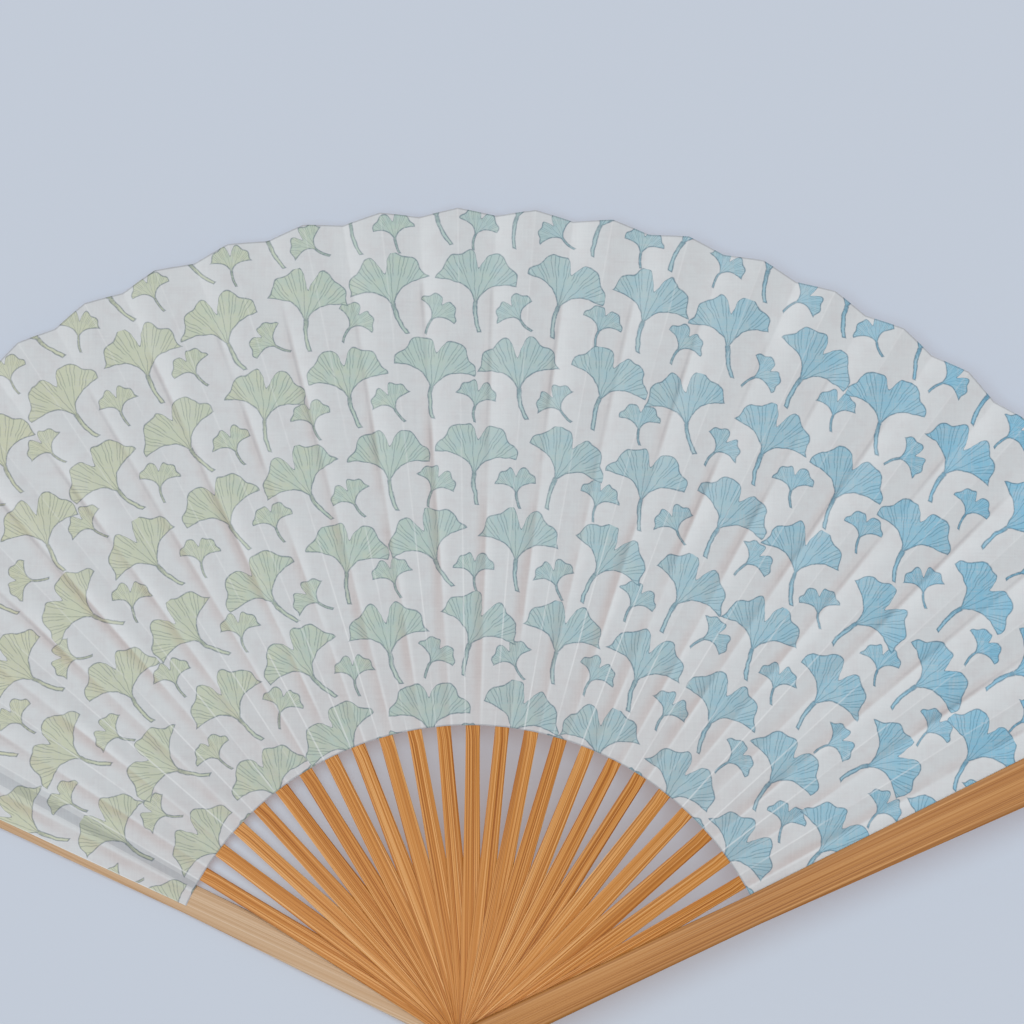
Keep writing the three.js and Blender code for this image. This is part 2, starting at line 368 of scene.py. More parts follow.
@dataclass(frozen=True)
class FanLayout:
    """Where the ribs, guards and leaf of the open fan lie, in millimetres and radians.

    Places count the ribs from the back guard, 0, to the front guard.
    """

    rib_count: int
    pitch: float
    back_guard_z: float
    guard_thickness: float
    front_guard_z: float
    layer_clearance: float = 0.1
    blade_thickness: float = 1.0
    guard_rim_width: float = 7.3
    guard_tip_width: float = 13.1
    guard_tip: float = 201.0
    leaf_radius: float = 200.0
    leaf_scallop: float = 1.8
    leaf_inner_radius: float = 75.7
    leaf_thickness: float = 0.12
    leaf_hem_inset: float = 1.8
    rim_gap: float = 0.3
    pleat_tilt: float = math.radians(14.0)
    slat_thickness: float = 0.16
    glue_gap: float = 0.05

    @classmethod
    def from_frame(cls, joints: Sequence[dict[str, Any]]) -> FanLayout:
        """Reads the ribs' count, pitch and heights from the frame.

        Args:
            joints: The frame's joints, one for each gap between ribs.

        Returns:
            The layout.
        """
        back_low, back_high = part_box("back_guard")
        front_low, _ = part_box("front_guard")
        return cls(
            rib_count=len(joints) - 1,
            pitch=math.radians(joints[0]["range_deg"][1]),
            back_guard_z=back_low.z / MM,
            guard_thickness=(back_high.z - back_low.z) / MM,
            front_guard_z=front_low.z / MM,
        )

    @property
    def last_place(self) -> int:
        """The front guard's place."""
        return self.rib_count + 1

    @property
    def half_facet(self) -> float:
        """Half the angle that one facet of a pleat covers."""
        return self.pitch / 4

    @property
    def facet_slope(self) -> float:
        """Rise to the left of a facet that lies on a rib."""
        return math.tan(self.pleat_tilt)

    @property
    def guard_recess(self) -> float:
        """How much thinner a guard is beside the leaf than at the pivot."""
        return self.guard_thickness - self.blade_thickness

    @property
    def handle_end(self) -> float:
        """Where the handles of ribs and guards end, just below the leaf."""
        return self.leaf_inner_radius - self.rim_gap

    def angle(self, place: float) -> float:
        """Returns the direction of a rib or guard from the pivot."""
        return math.pi / 2 + self.pitch * (self.last_place / 2 - place)

    def rib_z(self, place: int) -> float:
        """Returns the height of a rib's underside at the pivot."""
        first = self.back_guard_z + self.guard_thickness + self.layer_clearance
        return first + (self.front_guard_z - first) * (place - 1) / self.rib_count

    def body(self, place: int) -> str:
        """Returns the name of the frame's body at a place."""
        ends = {0: "back_guard", self.last_place: "front_guard"}
        return ends.get(place, f"rib_{place:02d}")

    def bed(self, place: int) -> Bed:
        """Finds the face that carries the cloth.

        Args:
            place: The place of its rib or guard.

        Returns:
            The face.
        """
        if place == 0:
            return Bed(self.back_guard_z + self.blade_thickness + self.glue_gap, 0.0)
        if place == self.last_place:
            ceiling = self.front_guard_z + self.guard_recess
            return Bed(ceiling - self.glue_gap - self.leaf_thickness, 0.0)
        return Bed(self.rib_z(place) + self.slat_thickness + self.glue_gap, self.facet_slope)

    def guard_half_width(self, x: float) -> float:
        """Returns half a guard's width at a distance from the pivot."""
        share = (x - self.leaf_inner_radius) / (self.guard_tip - self.leaf_inner_radius)
        return mix(self.guard_rim_width, self.guard_tip_width, share) / 2

    def seat(self, place: int, z: float) -> Matrix:
        """Returns the move from a rib's own frame, in millimetres, to its seat in metres."""
        turn = Matrix.Rotation(self.angle(place), 4, "Z")
        return Matrix.Scale(MM, 4) @ Matrix.Translation((0.0, 0.0, z)) @ turn


class Fibre(Enum):
    """The kinds of bamboo fibre.

    Each has its scale along and across a strip, where its noise starts, the noise's detail, and the two
    values between which it fades in.
    """

    STRIP = (0.002, 0.024, 4.0, 0.0, 0.3, 0.7)
    BROAD = (0.005, 0.5, 0.0, 1.0, 0.3, 0.7)
    STREAK = (0.006, 3.4, 0.0, 1.0, 0.34, 0.66)
    FINE = (0.02, 7.0, 0.0, 1.0, 0.34, 0.66)
    BUNDLE = (0.005, 3.0, 9.0, 1.0, 0.56, 0.64)
    PATCH = (0.02, 0.45, 2.0, 1.0, 0.38, 0.6)

    def drawn(self, graph: Graph, along: Wire, across: Wire) -> Wire:
        """Draws this kind on a strip, as values from 0 to 1."""
        along_scale, across_scale, start, detail, low, high = self.value
        return graph.noise(along * along_scale, across * across_scale, start, detail).smooth(low, high)


@dataclass(frozen=True)
class BambooGrain:
    """What all the fan's bamboo shares: long fibres, and painted shade and glint along a strip's edges.

    The painted shade's places are shares of half a strip's width, from -1 at the leaf's side to 1 at the
    other.
    """

    fine_share: float = 0.33
    waver: float = 0.05
    waver_scale: float = 0.02
    waver_start: float = 6.0
    outer_rind: Pair = (0.79, 0.86)
    inner_rind: Pair = (0.78, 0.84)
    inner_strength: float = 0.6
    splits: Pair = (0.46, 0.65)
    split_width: float = 0.02
    split_softness: float = 0.04
    split_strength: float = 0.5
    glint: float = 0.75
    glint_width: float = 0.025
    glint_softness: float = 0.03

    def fibre_group(self) -> NodeTree:
        """Makes the group that draws long fibres, whose places run along and across a strip."""
        graph = Graph.group("bamboo_fibre", "Tone", "Streak", "Vein")
        along, across, _ = graph.place()
        strip, broad, streak, fine, bundle, patch = (kind.drawn(graph, along, across) for kind in Fibre)
        return graph.give(
            Tone=strip * 0.5 + broad * 0.5,
            Streak=streak * (1.0 - self.fine_share) + fine * self.fine_share,
            Vein=bundle * patch,
        )

    def rind_group(self) -> NodeTree:
        """Makes the group that paints shade along a strip's edges, with two split lines and painted glint
        lines beside the edges.
        """
        graph = Graph.group("bamboo_rind", "Rind", "Glint")
        share, along, _ = graph.place()
        share = share + (graph.noise(along * self.waver_scale, self.waver_start) - 0.5) * self.waver
        # Painted shade along both long edges, darker at the outer one, plus two split lines.
        inner = (share * -1.0).smooth(*self.inner_rind)
        rind = share.smooth(*self.outer_rind) + inner * self.inner_strength
        for place in self.splits:
            split = (share - place).within(self.split_width, self.split_softness)
            rind = rind + split * self.split_strength
        # Painted glint: pale lines just inside both edges.
        glint = (abs(share) - self.glint).within(self.glint_width, self.glint_softness)
        return graph.give(Rind=rind, Glint=glint)


@dataclass(frozen=True)
class BambooFinish:
    """Split bamboo: fibre tones from dark to pale, painted shade and glint along its edges, and how much
    it shines.
    """

    name: str
    tones: tuple[Colour, ...]
    vein: Colour
    matt: float
    shine: float
    rind_strength: float
    tone_places: tuple[float, ...] = (0.1, 0.35, 0.65, 0.9)
    streaks: float = 0.45
    vein_strength: float = 0.5
    rind: Colour = display_colour(222, 214, 198)
    glint: Colour = display_colour(226, 182, 128)
    glint_strength: float = 0.25
    gloss: float = 0.3
    fibre_depth: float = 0.03

    def material(self, fibre: NodeTree, rind: NodeTree) -> Material:
        """Makes the material.

        Args:
            fibre: The fibre group.
            rind: The rind group.

        Returns:
            The new material.
        """
        surface = Surface(self.name)
        grain = surface.use(fibre, surface.map_place(GRAIN_MAP))
        edges = surface.use(rind, surface.map_place(EDGE_MAP))
        tone = grain["Tone"] * (1.0 - self.streaks) + grain["Streak"] * self.streaks
        colour = surface.ramp(tone, list(zip(self.tone_places, self.tones)))
        colour = surface.blend(grain["Vein"] * self.vein_strength, colour, self.vein)
        # Painted shade along the strip's edges, with the split lines.
        colour = surface.blend(edges["Rind"] * self.rind_strength, colour, self.rind, "MULTIPLY")
        # Painted glint lines beside the edges.
        glint = edges["Glint"] * self.rind_strength * self.glint_strength
        colour = surface.blend(glint, colour, self.glint)
        roughness = tone * (self.shine - self.matt) + self.matt
        surface.set(Base_Color=colour, Roughness=roughness, Specular_IOR_Level=self.gloss)
        surface.relief(grain["Streak"], self.fibre_depth)
        return surface.material


@dataclass(frozen=True)
class Sprig:
    """One size of leaf in the print.

    It has its scale, how many cells it stands to the side, how much nearer the pivot it stands, the angle
    that its tilts spread over, and how much its outline wobbles.
    """

    scale: float
    aside: float
    drop: float
    lean: float
    wobble: float


@dataclass(frozen=True)
class GinkgoPrint:
    """Ginkgo leaves in staggered rows round the pivot, with small ones between the large ones' stems."""

    large: Sprig = Sprig(scale=1.0, aside=0.0, drop=0.0, lean=0.8, wobble=0.9)
    small: Sprig = Sprig(scale=0.5, aside=0.5, drop=5.6, lean=1.6, wobble=0.45)
    first_row: float = 66.5
    row_height: float = 20.6
    row_drift: float = 0.6
    cell_width: float = 20.6
    blade: float = 13.0
    notch_depth: float = 0.36
    notch_angle: float = 0.12
    frill_depth: float = 0.035
    frill_count: float = 13.0
    frill_shift: float = 6.0
    shoulder_drop: float = 0.13
    narrow_angle: float = 0.42
    wide_angle: float = 1.12
    joint_drop: float = 2.8
    stem: float = 6.8
    stem_top: float = 0.5
    stem_width: float = 0.42
    stem_bend: float = 0.035
    line_width: float = 0.16
    line_softness: float = 0.15
    fill_softness: float = 0.08
    vein_width: float = 0.1
    vein_angle: float = 0.3
    vein_strength: float = 0.65
    fork: Pair = (0.55, 0.63)
    wobble_scale: float = 0.33
    wobble_starts: Pair = (0.0, 7.0)
    pencil_scale: float = 1.4
    pencil_start: float = 11.0
    pencil_span: Pair = (0.25, 0.6)
    wash_scale: float = 0.26
    wash_start: float = 3.0
    wash_detail: float = 4.0
    wash_roughness: float = 0.65

    def group(self) -> NodeTree:
        """Makes the group that draws the print on the leaf's plan."""
        graph = Graph.group("ginkgo_print", "Fill", "Line", "Wash")
        x, y, _ = graph.place()

        def noise(scale: float, start: float, detail: float, rough: float = 0.5) -> Wire:
            """Returns noise over the plan."""
            return graph.noise(x * scale, y * scale, start, detail, rough)

        wobble = [noise(self.wobble_scale, start, 1.0) - 0.5 for start in self.wobble_starts]
        drawn = []
        for sprig in (self.large, self.small):
            spot = (x + wobble[0] * sprig.wobble, y + wobble[1] * sprig.wobble)
            drawn.append(self._drawn(graph, *spot, sprig))
        (large_fill, large_line), (small_fill, small_line) = drawn
        pencil = noise(self.pencil_scale, self.pencil_start, 2.0).smooth(*self.pencil_span) * 0.5 + 0.5
        return graph.give(
            Fill=large_fill.most(small_fill),
            Line=large_line.most(small_line * (1.0 - large_fill)) * pencil,
            Wash=noise(self.wash_scale, self.wash_start, self.wash_detail, self.wash_roughness),
        )

    def _drawn(self, graph: Graph, x: Wire, y: Wire, sprig: Sprig) -> tuple[Wire, Wire]:
        """Draws one leaf in each cell.

        Args:
            graph: The group's tree.
            x: The point's place to the right of the pivot.
            y: The point's place above the pivot.
            sprig: The leaf's size.

        Returns:
            The leaf's fill, and its outline with its veins.
        """
        cell_x, cell_y, chance = self._cell(graph, x, y, sprig)
        across, up = cell_x / sprig.scale, cell_y / sprig.scale + self.joint_drop
        reach = graph.length(across, up)
        bearing = across.bearing(up)
        depth = self._blade(reach, bearing, chance).most(self._stem(across, up)) * sprig.scale
        fill = depth.smooth(-self.fill_softness, self.fill_softness)
        veins = self._veins(reach, bearing) * fill * self.vein_strength
        return fill, depth.within(self.line_width, self.line_softness).most(veins)

    def _cell(self, graph: Graph, x: Wire, y: Wire, sprig: Sprig) -> tuple[Wire, Wire, Wire]:
        """Finds the leaf that a point belongs to.

        Args:
            graph: The group's tree.
            x: The point's place to the right of the pivot.
            y: The point's place above the pivot.
            sprig: The leaf's size.

        Returns:
            The point's place across and up from the leaf's middle, and a chance value for that leaf.
        """
        radius = graph.length(x, y) + sprig.drop
        row = ((radius - self.first_row) / self.row_height).floor()
        middle = (row + 0.5) * self.row_height + self.first_row
        turn = x.bearing(y) * middle / self.cell_width + row * 0.5 + sprig.aside
        tilt, shift, chance = graph.dice(row + sprig.drop, turn.floor())
        cell_x = (turn.fraction() - 0.5) * self.cell_width * (radius - sprig.drop) / middle
        cell_y = radius - middle + (shift - 0.5) * self.row_drift
        angle = (tilt - 0.5) * sprig.lean
        sine, cosine = angle.sine(), angle.cosine()
        return cell_x * cosine - cell_y * sine, cell_x * sine + cell_y * cosine, chance

    def _blade(self, reach: Wire, bearing: Wire, chance: Wire) -> Wire:
        """Draws the fan-shaped blade, with its notch and its frilled top.

        Args:
            reach: The point's distance from the stem joint.
            bearing: Its direction from there, zero straight up.
            chance: The leaf's chance value.

        Returns:
            How deep the point lies inside the blade, below zero outside it.
        """
        share = reach / self.blade
        side = share.smooth(0.0, 1.0) * (self.wide_angle - self.narrow_angle) + self.narrow_angle
        notch = (bearing * bearing * (-1.0 / self.notch_angle**2)).exponential()
        frill = (bearing * self.frill_count + chance * self.frill_shift).sine() * self.frill_depth
        shoulders = bearing * bearing * -self.shoulder_drop
        top = (frill - notch * self.notch_depth + shoulders + 1.0) * self.blade
        return (top - reach).least((side - abs(bearing)) * reach)

    def _stem(self, across: Wire, up: Wire) -> Wire:
        """Returns how deep a point lies inside the bent stem, below zero outside it."""
        bent = across - up * up * self.stem_bend
        return (self.stem_width - abs(bent)).least((self.stem_top - up).least(up + self.stem))

    def _veins(self, reach: Wire, bearing: Wire) -> Wire:
        """Draws the lines that run out from the stem joint, with more of them further out.

        Args:
            reach: The point's distance from the stem joint.
            bearing: Its direction from there.

        Returns:
            1 on a vein and 0 beside it.
        """
        veins = []
        for angle in (self.vein_angle, self.vein_angle / 2):
            aside = ((bearing / angle).fraction() - 0.5) * angle * reach
            veins.append(aside.within(self.vein_width, self.line_softness))
        return veins[0] + veins[1] * (reach / self.blade).smooth(*self.fork) * (1.0 - veins[0])


@dataclass(frozen=True)
class PleatMarks:
    """What the pleats and the slats behind them leave on the cloth, with painted shade and highlights.

    Spans are two radii, or two values of the patchy noise, between which a mark fades. The valley's place
    past a rib and the first fold's painted shade are in pitches, and the other widths are millimetres.
    """

    layout: FanLayout
    valley_place: float = 0.25
    patch_scale: Pair = (1.3, 0.04)
    patch_span: Pair = (0.3, 0.7)
    patch_gain: float = 1.3
    patch_base: float = 0.35
    valley_softness: float = 0.4
    slat_width: float = 3.4
    slat_core: float = 0.2
    slat_base: float = 0.35
    slat_end: Pair = (178.0, 184.0)
    slat_near: Pair = (78.0, 100.0)
    slat_near_gain: float = 0.3
    slat_far: Pair = (135.0, 170.0)
    slat_far_loss: float = 0.35
    gutter_place: float = 0.7
    gutter_width: float = 0.3
    gutter_softness: float = 0.6
    gutter_span: Pair = (112.0, 150.0)
    gutter_strength: float = 0.3
    first_fold: float = 0.5
    first_width: float = 0.113
    first_softness: float = 0.02
    first_strength: float = 0.5
    hem_span: Pair = (80.0, 112.0)
    hem_strength: float = 0.25
    light_span: Pair = (80.0, 150.0)
    light_gain: float = 0.35
    light_base: float = 0.1
    light_core: float = 0.1
    crease_width: float = 0.15
    crease_softness: float = 0.2
    crease_patch: Pair = (0.3, 0.56)
    crease_span: Pair = (95.0, 150.0)
    crease_loss: float = 0.6
    edge_width: float = 0.3
    edge_softness: float = 0.3

    def group(self) -> NodeTree:
        """Makes the group of slats, creases, cut edges, painted shade and painted highlights on the plan.
        """
        graph = Graph.group("pleat_marks", "Slat", "Valley", "Crease", "Edge")
        x, y, _ = graph.place()
        radius = graph.length(x, y)
        pitch = self.layout.pitch
        pitches = x.bearing(y) / pitch + self.layout.last_place / 2
        beyond = (pitches + (0.5 - self.valley_place)).fraction() - 0.5
        past = beyond * radius * pitch
        patchy = graph.noise(pitches * self.patch_scale[0], radius * self.patch_scale[1], detail=2.0)
        uneven = patchy.smooth(*self.patch_span) * self.patch_gain + self.patch_base
        risen = past.smooth(-self.valley_softness, self.valley_softness)
        backed = 1.0 - radius.smooth(*self.slat_end)

        near = radius.smooth(*self.slat_near) * self.slat_near_gain + self.slat_base
        depth = near - radius.smooth(*self.slat_far) * self.slat_far_loss
        # Slats seen through the cloth, with painted shade on the facet over each rib that deepens towards
        # the valley.
        slat = past.smooth(-self.slat_width, -self.slat_width * self.slat_core) * (1.0 - risen)
        hem = (1.0 - radius.smooth(*self.hem_span)) * self.hem_strength

        # Painted highlight on the cloth just past each valley, narrow near the pivot and wider further
        # out.
        light = radius.smooth(*self.light_span) * self.light_gain + self.light_base
        valley = risen * (1.0 - (beyond / light).smooth(self.light_core, 1.0))

        # Crease lines on the ridges: wear in patches, with a painted highlight along the ridge.
        ridge = (0.5 - abs(beyond)) * radius * pitch
        faded = 1.0 - radius.smooth(*self.crease_span) * self.crease_loss
        worn = patchy.smooth(*self.crease_patch) * faded

        rim = self.layout.leaf_radius - (1.0 - abs(beyond) * 2.0) * self.layout.leaf_scallop
        outer = (rim - radius).within(self.edge_width, self.edge_softness)
        inner = (radius - self.layout.leaf_inner_radius).within(self.edge_width, self.edge_softness)
        gutter = (past + self.gutter_place).within(self.gutter_width, self.gutter_softness)
        gutter = gutter * radius.smooth(*self.gutter_span) * backed * self.gutter_strength
        # Painted shade on the first fold, which rises from the back guard.
        first = (pitches - self.first_fold).within(self.first_width, self.first_softness)
        return graph.give(
            Slat=slat * backed * depth * uneven + hem,
            Valley=valley * uneven,
            Crease=ridge.within(self.crease_width, self.crease_softness) * worn,
            Edge=outer.most(inner).most(gutter * uneven + first * self.first_strength),
        )


@dataclass(frozen=True)
class ClothWeave:
    """Crossing threads of slightly uneven width."""

    across_scale: float = 2.3
    along_scale: float = 0.11
    weft_start: float = 5.0

    def group(self) -> NodeTree:
        """Makes the group that draws the threads."""
        graph = Graph.group("cloth_weave", "Threads", "Relief")
        x, y, _ = graph.place()
        warp = graph.noise(x * self.across_scale, y * self.along_scale, detail=2.0)
        weft = graph.noise(x * self.along_scale, y * self.across_scale, self.weft_start, detail=2.0)
        return graph.give(Threads=warp * 0.5 + weft * 0.5, Relief=warp.most(weft))


@dataclass(frozen=True)
class ClothFinish:
    """One face of the leaf's cloth, whose inks change from left to right."""

    name: str
    ink_strength: float
    slat_strength: float
    cloth: Colour = display_colour(202, 206, 209)
    stain: Colour = display_colour(252, 249, 249)
    slat_shade: Colour = display_colour(243, 232, 229)
    valley_tone: Colour = display_colour(224, 228, 231)
    crease_tone: Colour = display_colour(226, 229, 231)
    edge_shade: Colour = display_colour(196, 198, 204)
    line_shades: tuple[Colour, Colour] = (display_colour(188, 191, 198), display_colour(162, 184, 196))
    inks: Stops = (
        (0.0, display_colour(197, 198, 173)),
        (0.3, display_colour(188, 197, 179)),
        (0.42, display_colour(176, 194, 186)),
        (0.52, display_colour(171, 192, 192)),
        (0.68, display_colour(158, 188, 199)),
        (1.0, display_colour(123, 180, 208)),
    )
    ink_left: float = -150.0
    ink_right: float = 150.0
    ink_drift: float = 0.3
    ink_base: float = 0.8
    ink_wash: float = 0.3
    ink_thread: float = 1.6
    ink_cover: float = 0.75
    stain_span: Pair = (0.4, 0.7)
    valley_strength: float = 0.26
    crease_strength: float = 0.45
    edge_strength: float = 0.7
    thread_strength: float = 0.25
    thread_depth: float = 0.05
    matt: float = 0.86
    gloss: float = 0.2
    sheen: float = 0.08

    def material(self, print_group: NodeTree, marks_group: NodeTree, weave_group: NodeTree) -> Material:
        """Makes the material.

        Args:
            print_group: The print.
            marks_group: The marks of the pleats.
            weave_group: The threads.

        Returns:
            The new material.
        """
        surface = Surface(self.name)
        place = surface.map_place(PLAN_MAP)
        ink = surface.use(print_group, place)
        marks = surface.use(marks_group, place)
        weave = surface.use(weave_group, place)
        x, _, _ = surface.parts(place)
        threads = weave["Threads"] - 0.5
        spread = (x - self.ink_left) / (self.ink_right - self.ink_left)
        tint = surface.ramp(spread + (ink["Wash"] - 0.5) * self.ink_drift, self.inks)
        depth = ink["Wash"] * self.ink_wash + self.ink_base + threads * self.ink_thread
        ground = surface.blend(ink["Wash"].smooth(*self.stain_span), self.cloth, self.stain, "MULTIPLY")
        colour = surface.blend(ink["Fill"] * depth * self.ink_strength, ground, tint)
        pencil = surface.blend(spread, *self.line_shades)
        colour = surface.blend(ink["Line"] * self.ink_strength, colour, pencil, "MULTIPLY")
        # Slats seen through the cloth, with painted shade on the facets over them.
        colour = surface.blend(marks["Slat"] * self.slat_strength, colour, self.slat_shade, "MULTIPLY")
        # Painted highlight past each valley, held back where ink covers the cloth.
        bare = 1.0 - ink["Fill"] * self.ink_strength * self.ink_cover
        colour = surface.blend(marks["Valley"] * bare * self.valley_strength, colour, self.valley_tone)
        # Worn creases with a painted highlight on the ridges.
        colour = surface.blend(marks["Crease"] * self.crease_strength, colour, self.crease_tone)
        # Darker cut edges and lines beside the valleys, with the painted shade on the first fold.
        colour = surface.blend(marks["Edge"] * self.edge_strength, colour, self.edge_shade, "MULTIPLY")
        grey = surface.ramp(threads * 0.5 + 0.5, ((0.0, BLACK), (1.0, WHITE)))
        colour = surface.blend(self.thread_strength, colour, grey, "OVERLAY")
        surface.set(Base_Color=colour, Roughness=self.matt)
        surface.set(Specular_IOR_Level=self.gloss, Sheen_Weight=self.sheen)
        surface.relief(weave["Relief"], self.thread_depth)
        return surface.material


@dataclass(frozen=True)
class BrassFinish:
    """Rubbed brass, duller in cloudy patches and finely scratched. Its scales are to a metre."""

    name: str = "rubbed_brass"
    bright: Colour = display_colour(202, 164, 96)
    dull: Colour = display_colour(150, 116, 62)
    dull_span: Pair = (0.35, 0.7)
    cloud_scale: float = 900.0
    scratch_scale: float = 5000.0
    scratch_length_scale: float = 700.0
    polish: float = 0.16
    cloud_matt: float = 0.25
    scratch_matt: float = 0.15
    scratch_depth: float = 0.01

    def material(self) -> Material:
        """Makes the material."""
        surface = Surface(self.name)
        x, y, z = surface.object_place()
        across, along = self.scratch_scale, self.scratch_length_scale
        cloud = surface.noise(*(value * self.cloud_scale for value in (x, y, z)), detail=3.0)
        scratch = surface.noise(x * across, y * along, z * across, detail=2.0)
        colour = surface.blend(cloud.smooth(*self.dull_span), self.bright, self.dull)
        roughness = cloud * self.cloud_matt + scratch * self.scratch_matt + self.polish
        surface.set(Base_Color=colour, Metallic=1.0, Roughness=roughness)
        surface.relief(scratch, self.scratch_depth)
        return surface.material


def finished_mesh(bm: BMesh, name: str) -> Mesh:
    """Turns a bmesh into a mesh, and frees it."""
    mesh = bpy.data.meshes.new(name)
    bm.to_mesh(mesh)
    bm.free()
    return mesh


def add_object(name: str, data: ID) -> Object:
    """Adds a mesh, a lamp or a camera to the scene."""
    item = bpy.data.objects.new(name, data)
    bpy.context.scene.collection.objects.link(item)
    return item


def add_piece(name: str, mesh: Mesh, materials: Sequence[Material]) -> Object:
    """Adds a mesh to the scene as a piece with a finish.

    Args:
        name: The piece's name.
        mesh: Its mesh, in place.
        materials: Its materials, in the order that its faces number them.

    Returns:
        The new object.
    """
    for material in materials:
        mesh.materials.append(material)
    return add_object(name, mesh)


def apply_modifiers(piece: Object) -> None:
    """Turns what a piece's modifiers make into its own mesh."""
    bpy.context.view_layer.update()
    shaped = piece.evaluated_get(bpy.context.evaluated_depsgraph_get())
    mesh = bpy.data.meshes.new_from_object(shaped)
    piece.modifiers.clear()
    piece.data = mesh


def shade(piece: Object, crease: float) -> None:
    """Shades a piece smoothly, apart from edges that turn by more than an angle in degrees."""
    piece.data.shade_smooth()
    piece.data.set_sharp_from_angle(angle=math.radians(crease))


@dataclass(frozen=True)
class Section:
    """One cross-section of a bamboo strip, in its rib's own frame."""

    x: float
    half_width: float
    bottom: float
    top: float
    slope: float = 0.0

    def towards(self, other: Section, share: float) -> Section:
        """Returns the section that lies a share of the way to another one."""
        return Section(*(mix(own, its, share) for own, its in zip(astuple(self), astuple(other))))


@dataclass(frozen=True)
class BambooStrip:
    """A strip of bamboo that runs through its cross-sections, crowned and with rounded long edges.

    It starts as a block that is one unit wide and high and has a unit of length for each span between
    sections. Its outer edge, where the painted edge shade is darkest, is at the right.
    """

    sections: tuple[Section, ...]
    edge_round: float = 0.16
    edge_segments: int = 3
    crown: float = 0.04
    cuts_across: int = 3

    def mesh(self, name: str, grain_start: float) -> Mesh:
        """Makes the strip's mesh in its rib's own frame.

        Args:
            name: The mesh's name.
            grain_start: Where the strip starts across the bamboo that it was split from.

        Returns:
            The mesh, with its grain map and its edge map.
        """
        spans = len(self.sections) - 1
        bm = bmesh.new()
        bmesh.ops.create_cube(bm, size=1.0)
        bmesh.ops.scale(bm, vec=(spans, 1.0, 1.0), verts=bm.verts)
        for axis, cuts in ((0, spans - 1), (1, self.cuts_across)):
            bmesh.ops.subdivide_edges(bm, edges=self._edges(bm, axis), cuts=cuts, use_grid_fill=True)
        corners = [edge for edge in self._edges(bm, 0) if all(map(self._at_corner, edge.verts))]
        bmesh.ops.bevel(
            bm,
            geom=corners,
            offset=self.edge_round,
            offset_type="OFFSET",
            segments=self.edge_segments,
            profile=0.5,
            affect="EDGES",
            material=-1,
        )
        bm.verts.index_update()
        shares = [-2 * vert.co.y for vert in bm.verts]
        for vert in bm.verts:
            vert.co = self._placed(vert.co, spans)
        grain = bm.loops.layers.uv.new(GRAIN_MAP)
        edges = bm.loops.layers.uv.new(EDGE_MAP)
        for face in bm.faces:
            for loop in face.loops:
                spot = loop.vert.co
                loop[grain].uv = (spot.x, spot.y + spot.z + grain_start)
                loop[edges].uv = (shares[loop.vert.index], spot.x)
        return finished_mesh(bm, name)

    @staticmethod
    def _edges(bm: BMesh, axis: int, shortest: float = 0.1) -> list[BMEdge]:
        """Returns the edges that run along an axis of the uncut block."""
        ends = [(edge, *(vert.co[axis] for vert in edge.verts)) for edge in bm.edges]
        return [edge for edge, start, end in ends if abs(end - start) > shortest]

    @staticmethod
    def _at_corner(vert: BMVert, nearly_half: float = 0.49) -> bool:
        """Tells whether a vertex lies on one of the block's long corners."""
        return abs(vert.co.y) > nearly_half and abs(vert.co.z) > nearly_half

    def _placed(self, spot: Vector, spans: int) -> Vector:
        """Moves a point of the block to its place on the strip.

        Args:
            spot: The point on the block.
            spans: The number of spans between sections.

        Returns:
            The point on the strip.
        """
        along = spot.x + spans / 2
        index = min(int(along), spans - 1)
        section = self.sections[index].towards(self.sections[index + 1], along - index)
        y = 2 * spot.y * section.half_width
        thickness = section.top - section.bottom
        dome = self.crown * thickness * (1 - (2 * spot.y) ** 2)
        z = section.bottom + thickness * (spot.z + 0.5) + section.slope * y + dome * spot.z
        return Vector((section.x, y, z))


@dataclass(frozen=True)
class StripCutter:
    """What ribs and guards share: the outlines of their handles, and the hole for the pivot pin."""

    arc_steps: int = 8
    handle_steps: int = 16
    handle_taper: float = 1.6
    hole_radius: float = 1.55
    hole_sides: int = 40
    bit_length: float = 100.0
    crease: float = 50.0

    def tail(self, tail: float, radius: float) -> list[Pair]:
        """Returns places and half-widths of the round end behind the pivot, from its tip forwards."""
        arc = quarter_arc(self.arc_steps)[1:]
        return [(radius - tail - radius * cosine, radius * sine) for sine, cosine in arc]

    def handle(self, length: float, head: float, stem: float) -> list[tuple[float, float, float]]:
        """Returns places, half-widths and shares of the handle, drawn in from its head to its stem."""
        shares = [step / self.handle_steps for step in range(1, self.handle_steps + 1)]
        widths = [mix(stem, head, (1 - share) ** self.handle_taper) for share in shares]
        return [(share * length, width, share) for share, width in zip(shares, widths)]

    def fit(self, mesh: Mesh, body: str, materials: Sequence[Material], slot: Slot) -> None:
        """Makes a strip's mesh a piece of the fan, drilled for the pin.

        Args:
            mesh: The mesh, in place and with the piece's name.
            body: The body that the piece rides on, whose solid it stands for.
            materials: Its materials, in the order that its faces number them.
            slot: The record's slot for it. Not used.
        """
        piece = add_piece(mesh.name, mesh, materials)
        self._drill(piece)
        shade(piece, self.crease)
        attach(piece, body)
        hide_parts(body)
        LOG.info("%s rides on %s", piece.name, body)

    def _drill(self, piece: Object) -> None:
        """Drills the pivot hole through a strip that is in its place."""
        bm = bmesh.new()
        bmesh.ops.create_cone(
            bm,
            cap_ends=True,
            segments=self.hole_sides,
            radius1=self.hole_radius * MM,
            radius2=self.hole_radius * MM,
            depth=self.bit_length * MM,
        )
        bit = add_object("drill", finished_mesh(bm, "drill"))
        cut = piece.modifiers.new("pivot_hole", "BOOLEAN")
        cut.object = bit
        cut.solver = "EXACT"
        apply_modifiers(piece)
        bpy.data.objects.remove(bit)


